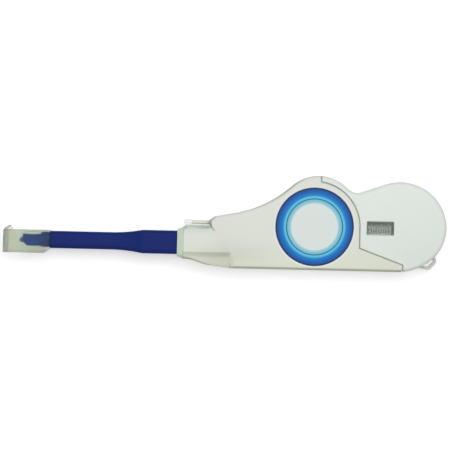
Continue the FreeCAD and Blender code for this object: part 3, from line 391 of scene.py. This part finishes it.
label_print = bpy.data.materials.new("label_print")
label_print.use_nodes = True
tree = label_print.node_tree
shader = tree.nodes["Principled BSDF"]
shader.inputs["Specular IOR Level"].default_value = 0.08
rings = tree.nodes.new("ShaderNodeValToRGB")
rings.color_ramp.interpolation = "LINEAR"
stops = rings.color_ramp.elements
for index, (radius_mm, colour) in enumerate(rings_mm):
    share = radius_mm / label_radius_mm
    stop = stops[index] if index < 2 else stops.new(share)
    stop.position = share
    stop.color = colour
tree.links.new(sums(tree, "DIVIDE", label_reach(tree), label_radius_mm / 1000.0),
               rings.inputs["Fac"])
texture = placed(tree, MOULD_GRAIN)
texture.inputs["Grain size mm"].default_value = 0.2
printed = blended(tree, sums(tree, "MULTIPLY", texture.outputs["Mottle"], ink_mottle),
                  rings.outputs["Color"], tone(160, 180, 190))
tree.links.new(printed, shader.inputs["Base Color"])
swing = sums(tree, "MULTIPLY", texture.outputs["Fine"], gloss_swing)
tree.links.new(sums(tree, "ADD", film_gloss, swing), shader.inputs["Roughness"])
bumped(tree, texture.outputs["Height"], strength=0.25, depth=0.00001)
finish_nodes(label_print, "label_disc")

# ------------------------------------------------------------------ window pane
# A small polycarbonate pane at the bottom of the window's recess, smoky and only partly
# clear, welded in from inside. Its middle is sunk and lightly ribbed.

pane_low, pane_high = [Vector(corner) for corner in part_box("window_lens")]
pane_size = pane_high - pane_low
pane_flange = 0.00225
pane_step = 0.00045
rib_count = 9
rib_pitch = (pane_size.x - 2.0 * pane_flange) / rib_count
rib_half = 0.18
rib_height = 0.00012
pane_rounding = 0.00005


def pick_faces(piece, wanted):
    """In edit mode, selects just the faces that the test accepts."""
    mesh = bmesh.from_edit_mesh(piece.data)
    for face in mesh.faces:
        face.select_set(False)
    for face in mesh.faces:
        if wanted(face):
            face.select_set(True)
    bmesh.update_edit_mesh(piece.data)


def looks_up(face):
    """Whether a face of the pane looks straight out of the window."""
    return face.normal.z > 0.99


def on_rib(face):
    """Whether a face of the pane's sunk floor belongs to a rib."""
    place = (face.calc_center_median().x - pane_low.x - pane_flange) / rib_pitch
    return looks_up(face) and abs(place - round(place)) < 0.1


bpy.ops.mesh.primitive_cube_add(size=1.0, location=(pane_low + pane_high) / 2.0,
                                scale=pane_size)
pane = bpy.context.object
pane.name = "ribbed_pane"
bpy.ops.object.transform_apply(location=True, rotation=True, scale=True)
bpy.ops.object.mode_set(mode="EDIT")
pick_faces(pane, looks_up)
bpy.ops.mesh.inset(thickness=pane_flange, depth=-pane_step)
for rib in range(1, rib_count):
    for side in (-rib_half, rib_half):
        cut_x = pane_low.x + pane_flange + (rib + side) * rib_pitch
        pick_faces(pane, looks_up)
        bpy.ops.mesh.bisect(plane_co=(cut_x, 0.0, 0.0), plane_no=(1.0, 0.0, 0.0))
pick_faces(pane, on_rib)
bpy.ops.mesh.extrude_region_move(TRANSFORM_OT_translate={"value": (0.0, 0.0, rib_height)})
bpy.ops.object.mode_set(mode="OBJECT")
only(pane)
bpy.ops.object.modifier_add(type="BEVEL")
bevel = pane.modifiers[-1]
bevel.width = pane_rounding
bevel.segments = 2
bpy.ops.object.modifier_apply(modifier=bevel.name)
bpy.ops.object.shade_smooth_by_angle(angle=math.radians(35.0))

clear_pane = moulded("clear_pane", tone(160, 170, 160), tone(146, 156, 147),
                     tone(184, 192, 184), 0.14, grain=0.6, depth=0.000004,
                     rounding=0.0002, hollow_shade=0.6)
tree = clear_pane.node_tree
tree.nodes["Principled BSDF"].inputs["Transmission Weight"].default_value = 0.3
along, across = split(tree, "Object")[:2]

# Painted shadow along three sides of the opening, as the recess's walls cast it, and a painted
# highlight line along its lower side.
shadow_front = ramped(tree, along, 0.0286, 0.0280)
shadow_rear = ramped(tree, along, 0.0394, 0.0400)
shadow_upper = ramped(tree, across, 0.0021, 0.0027)
highlight_lower = ramped(tree, across, -0.0029, -0.0032)
tinted(clear_pane, tone(84, 92, 85), 0.85,
       sums(tree, "MAXIMUM", shadow_front, shadow_rear, shadow_upper))
tinted(clear_pane, tone(196, 204, 196), 1.0, highlight_lower)
pane.data.materials.append(clear_pane)
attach(pane, "housing")
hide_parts("window_lens")

# ------------------------------------------------------------------ lock lever
# A natural acetal bar with a bright white thumb knob moulded over its front end. It turns
# on a polished steel cross pin in the shoulder; its lower edge is painted dark, as the
# shadow in the gap under it.

lever_white = moulded("lever_white", tone(228, 229, 214), tone(220, 220, 204),
                      tone(206, 206, 196), 0.3, rounding=0.0004)
tree = lever_white.node_tree
along, across = split(tree, "Object")[:2]
# The lever's lower edge is painted dark, as the shadow in the gap under it.
gap_shadow = ramped(tree, across, 0.00075, 0.00035)
knob = ramped(tree, along, -0.0635, -0.0639)
tinted(lever_white, tone(120, 120, 104), 0.9, gap_shadow)
tinted(lever_white, tone(242, 244, 250), 1.0, knob)
finish_nodes(lever_white, "lock_lever")


def bright_steel(name, colour, shade, edge, rough, depth, rounding):
    """Steel with a fine grain, lighter along its edges (partly rubbed, partly painted highlight),
    and with painted shade in its hollows.
    """
    material = moulded(name, colour, shade, edge, rough, grain=0.15, depth=depth,
                       rounding=rounding)
    material.node_tree.nodes["Principled BSDF"].inputs["Metallic"].default_value = 1.0
    return material


pin_steel = bright_steel("pin_steel", tone(176, 178, 180), tone(150, 152, 156),
                         tone(206, 208, 210), 0.3, depth=0.000004, rounding=0.0002)
finish_nodes(pin_steel, "lever_pin")

# ------------------------------------------------------------------ nozzle
# The sliding nozzle, moulded in dark royal blue ABS with a dull satin surface, and the
# brighter blue guide tip pressed in its front end.

# Both blues are painted lighter along their edges, as highlight.
nozzle_blue = moulded("nozzle_blue", tone(28, 46, 116), tone(22, 36, 104),
                      tone(46, 76, 140), 0.42, rounding=0.0008, shine=0.05)
finish_nodes(nozzle_blue, "nozzle_tube")
tip_blue = moulded("tip_blue", tone(8, 70, 152), tone(6, 58, 134), tone(30, 100, 170), 0.4,
                   rounding=0.0004, shine=0.1)
finish_nodes(tip_blue, "tip_guide")

# ------------------------------------------------------------------ guide cap and lid
# The connector cap, a thin-walled box of milky natural polypropylene, with a lid
# that folds on a strap of the same moulding.


def milky(name, colour, shade, edge, rounding, clearness):
    """Natural polypropylene that lets some of the light through."""
    material = moulded(name, colour, shade, edge, 0.3, grain=0.5, depth=0.00001,
                       rounding=rounding, hollow_shade=0.0)
    shader = material.node_tree.nodes["Principled BSDF"]
    shader.inputs["Transmission Weight"].default_value = clearness
    shader.inputs["IOR"].default_value = 1.2
    return material


cap_milk = milky("cap_milk", tone(228, 232, 222), tone(220, 225, 214), tone(206, 212, 202),
                 rounding=0.0005, clearness=1.0)
finish_nodes(cap_milk, "guide_cap")
lid_milk = milky("lid_milk", tone(190, 197, 184), tone(182, 190, 176), tone(200, 206, 194),
                 rounding=0.0003, clearness=0.8)
finish_nodes(lid_milk, "cap_lid")

# ------------------------------------------------------------------ cleaning head and tape
# A teal-blue pressing blade in the tip, with a woven white micro-fibre tape round it
# that runs back to the two reels.

head_teal = moulded("head_teal", tone(34, 84, 146), tone(26, 72, 128), tone(70, 120, 160),
                    0.42, rounding=0.0003)
finish_nodes(head_teal, "tape_head")

thread_density = 900.0
thread_wander = 1.5
cloth = bpy.data.materials.new("tape_cloth")
cloth.use_nodes = True
tree = cloth.node_tree
shader = tree.nodes["Principled BSDF"]
place = tree.nodes.new("ShaderNodeTexCoord").outputs["Object"]
warp, weft = [tree.nodes.new("ShaderNodeTexWave") for _ in range(2)]
for thread, direction in ((warp, "Z"), (weft, "X")):
    thread.bands_direction = direction
    thread.inputs["Scale"].default_value = thread_density
    thread.inputs["Distortion"].default_value = thread_wander
    tree.links.new(place, thread.inputs["Vector"])
weave = sums(tree, "MULTIPLY", warp.outputs["Fac"], weft.outputs["Fac"])
tree.links.new(blended(tree, weave, tone(226, 228, 226), tone(246, 247, 246)),
               shader.inputs["Base Color"])
shader.inputs["Roughness"].default_value = 0.85
bumped(tree, weave, strength=0.5, depth=0.00003)
finish_nodes(cloth, "head_tape", "tape_feed_run", "tape_return_run", "supply_tape",
             "takeup_tape")

# ------------------------------------------------------------------ reels and carriage
# The inner parts: grey acetal reels on the natural carriage moulding, a white acetal
# gear that a fixed rack turns, and two springs of bright wire.

reel_grey = moulded("reel_grey", tone(150, 154, 156), tone(132, 136, 140),
                    tone(184, 188, 190), 0.4)
finish_nodes(reel_grey, "supply_reel", "takeup_reel")
natural = moulded("frame_natural", tone(222, 220, 206), tone(206, 203, 188),
                  tone(238, 236, 226), 0.42)
finish_nodes(natural, "reel_frame")
acetal = moulded("gear_acetal", tone(236, 236, 230), tone(224, 224, 216),
                 tone(246, 246, 242), 0.33, rounding=0.0002)
finish_nodes(acetal, "drive_gear", "drive_rack")
wire = bright_steel("spring_wire", tone(190, 190, 188), tone(160, 160, 160),
                    tone(214, 214, 212), 0.25, depth=0.000003, rounding=0.0001)


def coil_piece(name, node, wire_size, turns, body):
    """A round-wire coil in its spring's box, with closed ends."""
    low, high = [Vector(corner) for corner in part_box(node)]
    middle = (low + high) / 2.0
    coil_radius = (high.y - low.y - wire_size) / 2.0
    bpy.ops.object.select_all(action="DESELECT")
    bpy.ops.mesh.primitive_circle_add(vertices=10, radius=wire_size / 2.0,
                                      location=(0.0, 0.0, 0.0))
    coil = bpy.context.object
    coil.name = name
    bpy.ops.object.mode_set(mode="EDIT")
    bpy.ops.mesh.select_all(action="SELECT")
    bpy.ops.transform.translate(value=(low.x + wire_size / 2.0, coil_radius, 0.0))
    bpy.ops.object.mode_set(mode="OBJECT")
    bpy.ops.object.modifier_add(type="SCREW")
    winding = coil.modifiers[-1]
    winding.axis = "X"
    winding.angle = 2.0 * math.pi
    winding.iterations = turns
    winding.screw_offset = (high.x - low.x - wire_size) / turns
    winding.steps = winding.render_steps = 28
    bpy.ops.object.modifier_apply(modifier=winding.name)
    bpy.ops.object.mode_set(mode="EDIT")
    bpy.ops.mesh.select_all(action="SELECT")
    bpy.ops.mesh.fill_holes(sides=0)
    bpy.ops.mesh.select_all(action="SELECT")
    bpy.ops.mesh.normals_make_consistent(inside=False)
    bpy.ops.transform.translate(value=(0.0, middle.y, middle.z))
    bpy.ops.object.mode_set(mode="OBJECT")
    bpy.ops.object.shade_smooth_by_angle(angle=math.radians(50.0))
    coil.data.materials.append(wire)
    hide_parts(node)
    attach(coil, body)
    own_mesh(coil)


coil_piece("return_coil", "return_spring", wire_size=0.0006, turns=6,
           body="housing")
coil_piece("head_coil", "head_spring", wire_size=0.00035, turns=5,
           body="carriage")

# ------------------------------------------------------------------ floor, light and camera
# A plain white table top just under the pen. A large soft lamp hangs high over it, a
# little towards the lever's side, in an even white room.


def seen_directly(tree):
    """1 for what the camera sees, itself or through gloss or glass, and 0 for other light."""
    path = tree.nodes.new("ShaderNodeLightPath")
    return sums(tree, "MAXIMUM", path.outputs["Is Camera Ray"], path.outputs["Is Glossy Ray"],
                path.outputs["Is Transmission Ray"])


bpy.ops.mesh.primitive_plane_add(size=4.0, location=(0.0, 0.0, -0.0002))
floor = bpy.context.object
floor.name = "table_top"
floor_glow = 0.45
floor_white = bpy.data.materials.new("table_white")
floor_white.use_nodes = True
tree = floor_white.node_tree
shader = tree.nodes["Principled BSDF"]
shader.inputs["Base Color"].default_value = (0.86, 0.86, 0.86, 1.0)
shader.inputs["Roughness"].default_value = 0.9
shader.inputs["Specular IOR Level"].default_value = 0.0
shader.inputs["Emission Color"].default_value = (1.0, 1.0, 1.0, 1.0)
tree.links.new(sums(tree, "MULTIPLY", seen_directly(tree), floor_glow),
               shader.inputs["Emission Strength"])
floor.data.materials.append(floor_white)

wall_light, ceiling_light = 0.15, 0.39
ceiling_from = 0.9
world = bpy.data.worlds.new("even_room")
bpy.context.scene.world = world
world.use_nodes = True
tree = world.node_tree
background = tree.nodes["Background"]
background.inputs["Color"].default_value = (1.0, 1.0, 1.0, 1.0)
height = tree.nodes.new("ShaderNodeMapRange")
height.inputs["From Min"].default_value = 0.0
height.inputs["From Max"].default_value = ceiling_from
height.inputs["To Min"].default_value = wall_light
height.inputs["To Max"].default_value = ceiling_light
upwards = split(tree, "Generated")[2]
tree.links.new(upwards, height.inputs["Value"])
tree.links.new(sums(tree, "MAXIMUM", height.outputs[0], seen_directly(tree)),
               background.inputs["Strength"])

lamp_place = Vector((0.05, 0.24, 1.0))
lamp_aim = Vector((-0.04, 0.0, 0.01))
bpy.ops.object.light_add(type="AREA", location=lamp_place)
lamp = bpy.context.object
lamp.name = "soft_lamp"
lamp.data.shape = "DISK"
lamp.data.size = 0.8
lamp.data.energy = 6.3
lamp.rotation_euler = (lamp_aim - lamp_place).to_track_quat("-Z", "Y").to_euler()

lens = 200.0
sensor = 36.0
seen_width = 0.2328
label_face = 0.020
view_x, view_y = -0.04636, -0.00009
view_turn = math.radians(1.33)
bpy.ops.object.camera_add(location=(view_x, view_y, label_face + seen_width / sensor * lens),
                          rotation=(0.0, 0.0, view_turn))
camera = bpy.context.object
camera.name = "view_camera"
camera.data.lens = lens
camera.data.sensor_width = sensor
camera.data.clip_start = 0.05
camera.data.clip_end = 20.0
bpy.context.scene.camera = camera
bpy.context.scene.view_settings.view_transform = "Standard"
